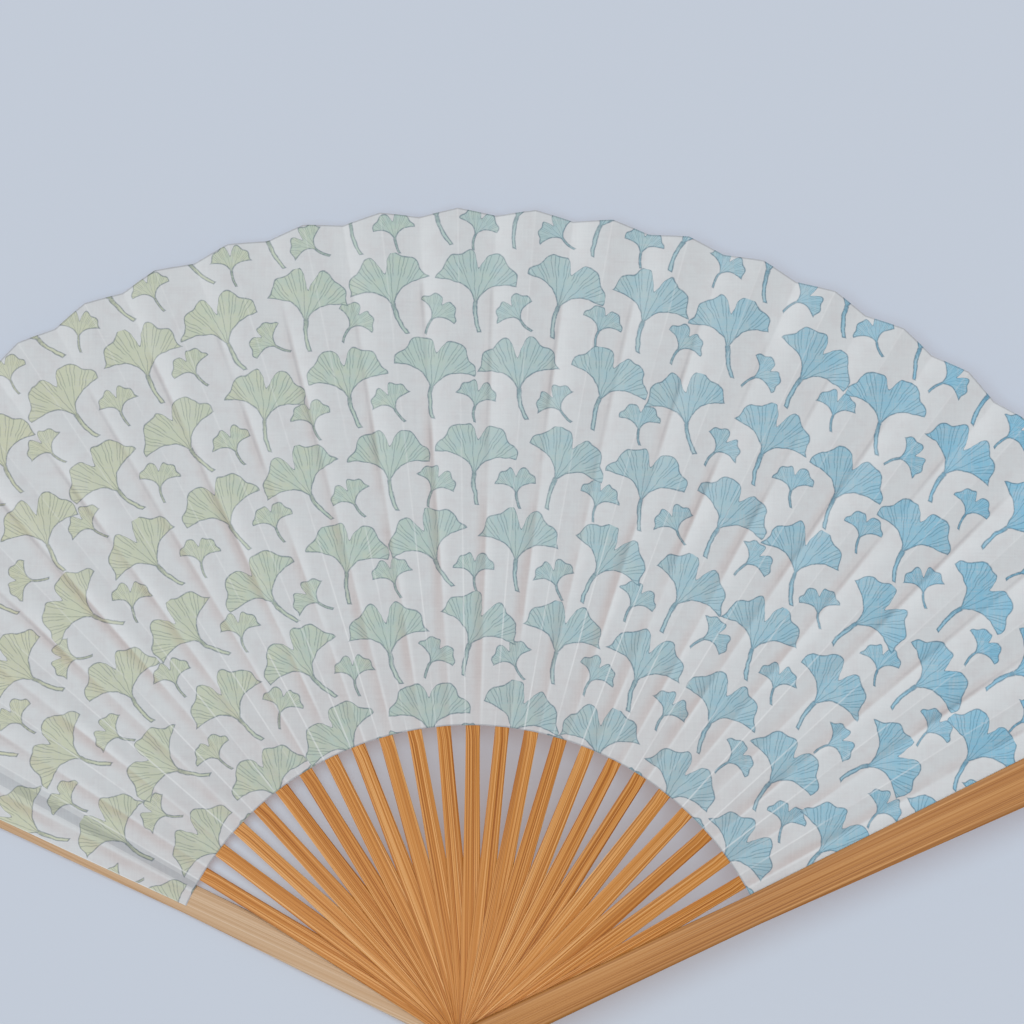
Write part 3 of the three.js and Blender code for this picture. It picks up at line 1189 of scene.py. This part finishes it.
@dataclass(frozen=True)
class RibSet:
    """The thin ribs between the guards, each a flat handle that thins to a slat behind the leaf."""

    layout: FanLayout
    cutter: StripCutter
    thickness: float = 0.5
    tail: float = 9.0
    head_radius: float = 3.2
    stem_half_width: float = 1.7
    shoulder: float = 3.0
    fold_margin: float = 0.05
    slat_tip_half_width: float = 1.1
    slat_tip_inset: float = 16.5
    slat_steps: int = 4
    grain_step: float = 41.7

    def strip(self) -> BambooStrip:
        """Returns the strip that all ribs are cut to."""
        layout = self.layout
        slat, slope = layout.slat_thickness, layout.facet_slope
        slat_half_width = layout.leaf_inner_radius * math.sin(layout.half_facet) - self.fold_margin
        slat_tip = layout.leaf_radius - layout.leaf_scallop - self.slat_tip_inset
        tail = self.cutter.tail(self.tail, self.head_radius)
        shoulder = layout.handle_end - self.shoulder
        handle = self.cutter.handle(shoulder, self.head_radius, self.stem_half_width)
        first = Section(layout.handle_end, slat_half_width, 0.0, slat, slope)
        last = Section(slat_tip, self.slat_tip_half_width, 0.0, slat, slope)
        return BambooStrip(
            (
                *(Section(x, half, 0.0, self.thickness) for x, half in tail),
                *(Section(x, half, 0.0, self.thickness, share * slope) for x, half, share in handle),
                *(first.towards(last, step / self.slat_steps) for step in range(self.slat_steps + 1)),
            )
        )

    def build(self, material: Material) -> None:
        """Makes every rib, in its place on its own body."""
        strip = self.strip()
        for place in range(1, self.layout.last_place):
            body = self.layout.body(place)
            mesh = strip.mesh(f"bamboo_{body}", place * self.grain_step)
            mesh.transform(self.layout.seat(place, self.layout.rib_z(place)))
            self.cutter.fit(mesh, body, [material], Slot.RIB)


@dataclass(frozen=True)
class GuardPair:
    """The two stout outer strips, flat outside and drawn back inside to make room for the leaf."""

    layout: FanLayout
    cutter: StripCutter
    tail: float = 9.4
    head_radius: float = 4.0
    tip_round: float = 2.0
    blade_steps: int = 5
    edge_round: float = 0.12
    crown: float = 0.1
    grain_start: float = 13.0
    grain_step: float = 9.0
    facing: float = 0.5

    def strip(self, leaf_side: Side) -> BambooStrip:
        """Shapes a guard.

        Args:
            leaf_side: The side that faces the leaf.

        Returns:
            The guard's strip.
        """
        layout = self.layout
        start, end = layout.handle_end, layout.guard_tip - self.tip_round
        outline = [(x, half, 0.0) for x, half in self.cutter.tail(self.tail, self.head_radius)]
        outline += self.cutter.handle(start, self.head_radius, layout.guard_half_width(start))
        for step in range(1, self.blade_steps):
            x = mix(start, end, step / self.blade_steps)
            outline.append((x, layout.guard_half_width(x), 1.0))
        for sine, cosine in quarter_arc(self.cutter.arc_steps):
            x = end + self.tip_round * sine
            outline.append((x, layout.guard_half_width(x) - self.tip_round * (1 - cosine), 1.0))
        sections = tuple(self._section(leaf_side, *spot) for spot in outline)
        return BambooStrip(sections, edge_round=self.edge_round, crown=self.crown)

    def _section(self, leaf_side: Side, x: float, half_width: float, share: float) -> Section:
        """Returns the section that has a share of the full recess on the leaf's side."""
        recess = share * self.layout.guard_recess
        if leaf_side is Side.UPPER:
            return Section(x, half_width, 0.0, self.layout.guard_thickness - recess)
        return Section(x, half_width, recess, self.layout.guard_thickness)

    def build(self, outer: Material, inner: Material) -> None:
        """Makes both guards, in their places on their own bodies.

        Args:
            outer: The material of their outer faces and edges.
            inner: The material of the faces towards the leaf, paler, with painted glare in its tones.
        """
        seats = (
            (0, Side.UPPER, self.layout.back_guard_z),
            (self.layout.last_place, Side.LOWER, self.layout.front_guard_z),
        )
        for place, leaf_side, z in seats:
            body = self.layout.body(place)
            grain_start = self.grain_start + place * self.grain_step
            mesh = self.strip(leaf_side).mesh(f"bamboo_{body}", grain_start)
            for face in mesh.polygons:
                face.material_index = int(face.normal.z * leaf_side.value > self.facing)
            mesh.transform(self.layout.seat(place, z))
            self.cutter.fit(mesh, body, [outer, inner], Slot.GUARD)


@dataclass(frozen=True)
class Leaf:
    """The pleated cloth, in panels that each run from one rib's centre line to the next.

    Across a panel, stations count half facets from the left rib's centre line: the valley is at 1, the
    ridge at 3 and the right rib at 4. Stations before 0 or after 4 run to the hem on a guard. The cloth
    sways in slow waves, each with its share of the sway, its rate along a panel and its shift per panel.
    """

    layout: FanLayout
    stations: tuple[float, ...] = (
        *(0.0, 0.35, 0.55, 0.75, 0.95, 1.15, 1.35, 1.6, 1.9, 2.2, 2.5, 2.75, 2.9),
        *(2.975, 3.025, 3.1, 3.3, 3.65, 4.0),
    )
    left_hem: Pair = (-1.0, -0.5)
    right_hem: Pair = (4.5, 5.0)
    rows: int = 26
    valley: float = 1.0
    ridge: float = 3.0
    right_rib: float = 4.0
    lift_off: float = 0.2
    guard_lift_off: float = 0.9
    valley_end: float = 1.6
    sway: float = 0.16
    waves: tuple[tuple[float, float, float], ...] = ((0.6, 0.05, 2.4), (0.4, 0.021, 5.1))
    fold_radius: float = 150.0
    crease: float = 60.0

    def build(self, materials: Sequence[Material]) -> None:
        """Makes every panel, which lies between its two bodies.

        Args:
            materials: The printed face's material and the reverse's.
        """
        for place in range(self.layout.last_place):
            name = f"cloth_panel_{place:02d}"
            mesh, flat, area = self._panel_mesh(name, place)
            piece = add_piece(name, mesh, materials)
            wall = piece.modifiers.new("cloth_thickness", "SOLIDIFY")
            wall.thickness = self.layout.leaf_thickness * MM
            wall.offset = 1.0
            wall.material_offset = 1
            apply_modifiers(piece)
            shade(piece, self.crease)
            self._join(piece, place, flat, area)

    def _join(self, piece: Object, place: int, flat: Pair, area: float) -> None:
        """Hides the solids that a panel stands for, and bakes its place into its mesh.

        Args:
            piece: The panel.
            place: The place of the rib or guard at its left.
            flat: Its flat width and length, in metres. Not used.
            area: Its flat area, in square metres. Not used.
        """
        bodies = [self.layout.body(place), self.layout.body(place + 1)]
        replaced = [f"leaf_pleat_{place:02d}"]
        if place + 1 == self.layout.last_place:
            replaced.append("leaf_end")
        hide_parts(*replaced)
        middle = self.layout.angle(place + 0.5)
        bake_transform(piece)
        LOG.info("%s folds between %s and %s", piece.name, *bodies)

    def _panel_mesh(self, name: str, place: int) -> tuple[Mesh, Pair, float]:
        """Shapes one panel from a flat grid.

        Args:
            name: The mesh's name.
            place: The place of the rib or guard at its left.

        Returns:
            The mesh of the cloth's underside, with the plan as its map, and its flat size and area.
        """
        stations = self._stations(place)
        spans = len(stations) - 1
        bm = bmesh.new()
        bmesh.ops.create_grid(bm, x_segments=spans, y_segments=self.rows, size=0.5)
        rim = {}
        for vert in bm.verts:
            column = round((vert.co.x + 0.5) * spans)
            out = vert.co.y + 0.5
            vert.co = self._spot(place, stations[column], out) * MM
            if round(out * self.rows) == self.rows:
                rim[column] = vert.co
        plan = bm.loops.layers.uv.new(PLAN_MAP)
        for face in bm.faces:
            for loop in face.loops:
                loop[plan].uv = loop.vert.co.xy / MM
        bmesh.ops.recalc_face_normals(bm, faces=bm.faces)
        if bm.faces[:][0].normal.z < 0:
            bmesh.ops.reverse_faces(bm, faces=bm.faces)
        width = sum((rim[column + 1] - rim[column]).length for column in range(spans))
        length = (self.layout.leaf_radius - self.layout.leaf_inner_radius) * MM
        area = sum(face.calc_area() for face in bm.faces)
        return finished_mesh(bm, name), (width, length), area

    def _stations(self, place: int) -> tuple[float, ...]:
        """Returns a panel's stations, with its hem where it ends on a guard."""
        left = self.left_hem if place == 0 else ()
        right = self.right_hem if place + 1 == self.layout.last_place else ()
        return (*left, *self.stations, *right)

    def _spot(self, place: int, station: float, out: float) -> Vector:
        """Places a point of the cloth's underside.

        Args:
            place: The place of the rib or guard at the panel's left.
            station: Where the point is across the panel.
            out: Where it is from the inner rim, 0, to the outer one, 1.

        Returns:
            The point, in millimetres.
        """
        valley_share = 1 - abs(station - self.valley) / 2
        if station > self.ridge:
            valley_share = (station - self.ridge) / 2
        rim = self.layout.leaf_radius - self.layout.leaf_scallop * min(max(valley_share, 0.0), 1.0)
        radius = mix(self.layout.leaf_inner_radius, rim, out)
        hem = self._hem(radius)
        share = station
        if station < 0:
            share = station * hem
        elif station > self.right_rib:
            share = self.right_rib + (station - self.right_rib) * hem
        angle = self.layout.angle(place) - share * self.layout.half_facet
        height = self._height(place, share, radius)
        return Vector((radius * math.cos(angle), radius * math.sin(angle), height))

    def _hem(self, radius: float) -> float:
        """Returns how many half facets lie between a guard's centre line and the leaf's end edge."""
        offset = self.layout.guard_half_width(radius) - self.layout.leaf_hem_inset
        return math.asin(offset / radius) / self.layout.half_facet

    def _height(self, place: int, share: float, radius: float) -> float:
        """Finds the height of the cloth's underside.

        The cloth lies on a rib, leaves it in a soft valley and climbs straight to a sharp ridge.
        From there it falls along the next rib's facet.

        Args:
            place: The place of the rib or guard at the panel's left.
            share: How many half facets the point lies from that rib's centre line.
            radius: The point's distance from the pivot.

        Returns:
            The height, in millimetres.
        """
        left, right = self.layout.bed(place), self.layout.bed(place + 1)
        unit = radius * math.sin(self.layout.half_facet)
        lift = self.guard_lift_off if place == 0 else self.lift_off
        if share <= lift:
            return left.level(-share * unit)
        if share >= self.ridge:
            return right.level((self.right_rib - share) * unit)
        low, high = left.level(-lift * unit), right.level(unit)
        turn, climb = (self.valley_end - lift) * unit, (self.ridge - self.valley_end) * unit
        steep = (high - low + left.slope * turn / 2) / (turn / 2 + climb)
        along = (share - lift) * unit
        if along <= turn:
            level = low - left.slope * along + (steep + left.slope) * along**2 / (2 * turn)
        else:
            level = high - steep * (turn + climb - along)
        drift = sum(part * math.sin(rate * radius + shift * place) for part, rate, shift in self.waves)
        return level + self.sway * drift * math.sin(math.pi * along / (turn + climb)) ** 2


@dataclass(frozen=True)
class Pivot:
    """The brass pin with its lower head, and the cap on its upper end."""

    pin_radius: float = 1.5
    pin_clearance: float = 0.05
    head_radius: float = 3.0
    head_thickness: float = 0.8
    edge_round: float = 0.25
    bore_depth: float = 0.45
    dish_radius: float = 1.3
    dish_depth: float = 0.16
    turns: int = 64
    arc_steps: int = 5
    weld: float = 1e-4
    crease: float = 40.0

    def build(self, material: Material) -> None:
        """Makes the pin and the cap, which stay on the back guard."""
        pin_low, pin_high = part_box("pivot_pin")
        cap_low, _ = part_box("pivot_cap")
        pin_top = (pin_high.z - pin_low.z) / MM
        top, side = self.head_thickness, self.head_radius
        head = [(0.0, 0.0), *self._rounded_edge(self.edge_round, -1), (side, top)]
        shaft = [(self.pin_radius, top), (self.pin_radius, pin_top), (0.0, pin_top)]
        self._turned("brass_pin", "pivot_pin", [*head, *shaft], pin_low.z, material)
        bore_radius = self.pin_radius + self.pin_clearance
        bore = [(0.0, self.bore_depth), (bore_radius, self.bore_depth), (bore_radius, 0.0)]
        crown = [(side, 0.0), *self._rounded_edge(top - self.edge_round, 1)]
        dish = []
        for step, (sine, _) in enumerate(quarter_arc(self.arc_steps)):
            dish.append((self.dish_radius * (1 - step / self.arc_steps), top - self.dish_depth * sine))
        self._turned("brass_cap", "pivot_cap", [*bore, *crown, *dish], cap_low.z, material)

    def _rounded_edge(self, height: float, direction: int) -> list[Pair]:
        """Rounds a head's outer edge, outwards below it and inwards above it.

        Args:
            height: The height of the arc's centre.
            direction: -1 for the edge below, 1 for the edge above.

        Returns:
            Radii and heights.
        """
        points = []
        for sine, cosine in quarter_arc(self.arc_steps):
            out, up = (sine, cosine) if direction < 0 else (cosine, sine)
            radius = self.head_radius - self.edge_round + self.edge_round * out
            points.append((radius, height + direction * self.edge_round * up))
        return points

    def _turned(
        self, name: str, node: str, profile: Sequence[Pair], z: float, material: Material
    ) -> None:
        """Turns a profile round the pivot axis.

        Args:
            name: The piece's name.
            node: The solid that it stands for.
            profile: Radii and heights, from the axis out and back to it.
            z: The height that the profile starts from, in metres.
            material: The piece's material.
        """
        bm = bmesh.new()
        verts = [bm.verts.new((radius * MM, 0.0, height * MM + z)) for radius, height in profile]
        edges = [bm.edges.new(pair) for pair in zip(verts, verts[1:])]
        bmesh.ops.spin(
            bm,
            geom=[*verts, *edges],
            cent=(0.0, 0.0, 0.0),
            axis=(0.0, 0.0, 1.0),
            dvec=(0.0, 0.0, 0.0),
            angle=math.tau,
            steps=self.turns,
            use_merge=True,
        )
        bmesh.ops.remove_doubles(bm, verts=bm.verts, dist=self.weld * MM)
        bmesh.ops.recalc_face_normals(bm, faces=bm.faces)
        piece = add_piece(name, finished_mesh(bm, name), [material])
        shade(piece, self.crease)
        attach(piece, "back_guard")
        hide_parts(node)
        LOG.info("%s stands for %s", name, node)


@dataclass(frozen=True)
class Studio:
    """A pale floor under soft light from above, seen from straight above."""

    view_x: float = 8.97
    view_y: float = 127.0
    view_roll: float = math.radians(0.48)
    view_width: float = 246.15
    subject_z: float = 10.0
    lens: float = 200.0
    sensor: float = 36.0
    floor_size: float = 6000.0
    floor_cells: int = 8
    floor_z: float = -0.05
    floor_colour: Colour = display_colour(180, 217, 241)
    floor_cloud: Colour = display_colour(210, 214, 222)
    floor_cloud_strength: float = 0.06
    floor_clouds_per_metre: float = 9.0
    floor_matt: float = 0.9
    floor_gloss: float = 0.1
    floor_glow: Colour = display_colour(211, 184, 178)
    glow_share: float = 0.44
    sky_strength: float = 0.24
    lamp_strength: float = 2.4
    lamp_tilt: float = math.radians(4.0)
    lamp_lean: float = math.radians(8.0)
    lamp_spread: float = math.radians(42.0)

    def build(self) -> None:
        """Makes the floor, the light and the camera."""
        self._floor()
        self._light()
        self._camera()

    def _floor(self) -> None:
        """Lays the floor that the fan rests on."""
        bm = bmesh.new()
        cells = self.floor_cells
        bmesh.ops.create_grid(bm, x_segments=cells, y_segments=cells, size=self.floor_size * MM / 2)
        bmesh.ops.translate(bm, vec=(0.0, 0.0, self.floor_z * MM), verts=bm.verts)
        surface = Surface("floor_paper")
        x, y, _ = surface.object_place()
        scale = self.floor_clouds_per_metre
        cloud = surface.noise(x * scale, y * scale, detail=2.0) * self.floor_cloud_strength
        colour = surface.blend(cloud, self.floor_colour, self.floor_cloud)
        surface.set(Base_Color=colour, Roughness=self.floor_matt, Specular_IOR_Level=self.floor_gloss)
        self._glow(surface)
        add_piece("floor", finished_mesh(bm, "floor"), [surface.material])

    def _glow(self, surface: Surface) -> None:
        """Lightens the floor's shadows where it is looked at, and leaves its own light off the fan."""
        path = surface.node("LightPath", {})
        rays = [Wire(surface, path[f"Is {kind} Ray"]) for kind in ("Camera", "Glossy", "Transmission")]
        seen = (rays[0] + rays[1] + rays[2]).least(1.0)
        glow = surface.node("Emission", {"Color": self.floor_glow})["Emission"]
        shaders = [Wire(surface, output) for output in (surface.shader.outputs["BSDF"], glow)]
        both = surface.node("MixShader", dict(enumerate((seen * self.glow_share, *shaders))))
        output = surface.tree.nodes["Material Output"]
        surface.feed(output.inputs["Surface"], Wire(surface, both["Shader"]))

    def _light(self) -> None:
        """Sets an even sky and one broad lamp overhead, which leans a little to one side."""
        world = bpy.data.worlds.new("studio")
        bpy.context.scene.world = world
        world.use_nodes = True
        sky = world.node_tree.nodes["Background"]
        sky.inputs["Color"].default_value = WHITE
        sky.inputs["Strength"].default_value = self.sky_strength
        lamp = bpy.data.lights.new("broad_lamp", "SUN")
        lamp.energy = self.lamp_strength
        lamp.angle = self.lamp_spread
        add_object("broad_lamp", lamp).rotation_euler = (-self.lamp_lean, -self.lamp_tilt, 0.0)

    def _camera(self) -> None:
        """Hangs the camera over the leaf, turned by the small angle that the fan lies at."""
        data = bpy.data.cameras.new("camera")
        data.lens = self.lens
        data.sensor_width = self.sensor
        camera = add_object("camera", data)
        distance = self.view_width * self.lens / self.sensor
        camera.location = Vector((self.view_x, self.view_y, self.subject_z + distance)) * MM
        camera.rotation_euler = (0.0, 0.0, self.view_roll)
        bpy.context.scene.camera = camera
        bpy.context.scene.view_settings.view_transform = "Standard"


def bamboo_finishes() -> tuple[BambooFinish, BambooFinish, BambooFinish]:
    """Returns the finishes of the guards' inner faces, of their outer faces and of the ribs."""
    # Paler tones with painted glare, for the guards' faces towards the leaf.
    inner = BambooFinish(
        name="inner_bamboo",
        tones=palette((174, 138, 102), (190, 158, 124), (198, 169, 138), (210, 188, 162)),
        vein=display_colour(164, 124, 84),
        vein_strength=0.4,
        matt=0.6,
        shine=0.5,
        rind_strength=0.0,
    )
    guard = BambooFinish(
        name="guard_bamboo",
        tones=palette((154, 98, 42), (177, 121, 62), (187, 134, 75), (202, 155, 100)),
        vein=display_colour(146, 94, 48),
        matt=0.56,
        shine=0.44,
        rind_strength=1.0,
    )
    rib = BambooFinish(
        name="rib_bamboo",
        tones=palette((140, 74, 14), (181, 114, 40), (201, 137, 65), (224, 174, 114)),
        vein=display_colour(142, 82, 30),
        streaks=0.72,
        matt=0.55,
        shine=0.42,
        rind_strength=0.35,
    )
    return inner, guard, rib


def cloth_materials(layout: FanLayout) -> list[Material]:
    """Makes the materials of the leaf's printed face and of its reverse.

    Args:
        layout: The fan's layout.

    Returns:
        The two materials, in that order.
    """
    groups = (GinkgoPrint().group(), PleatMarks(layout).group(), ClothWeave().group())
    printed = ClothFinish("printed_cloth", ink_strength=1.0, slat_strength=1.0)
    reverse = ClothFinish("reverse_cloth", ink_strength=0.4, slat_strength=0.3)
    return [printed.material(*groups), reverse.material(*groups)]


def main() -> None:
    """Builds the fan and its studio round the frame."""
    logging.basicConfig(level=logging.INFO, format="%(name)s: %(message)s")
    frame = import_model()
    layout = FanLayout.from_frame(frame["joints"])
    cutter = StripCutter()
    grain = BambooGrain()
    groups = (grain.fibre_group(), grain.rind_group())
    inner, guard, rib = (finish.material(*groups) for finish in bamboo_finishes())
    Studio().build()
    GuardPair(layout, cutter).build(guard, inner)
    RibSet(layout, cutter).build(rib)
    Leaf(layout).build(cloth_materials(layout))
    Pivot().build(BrassFinish().material())


if __name__ == "__main__":
    main()
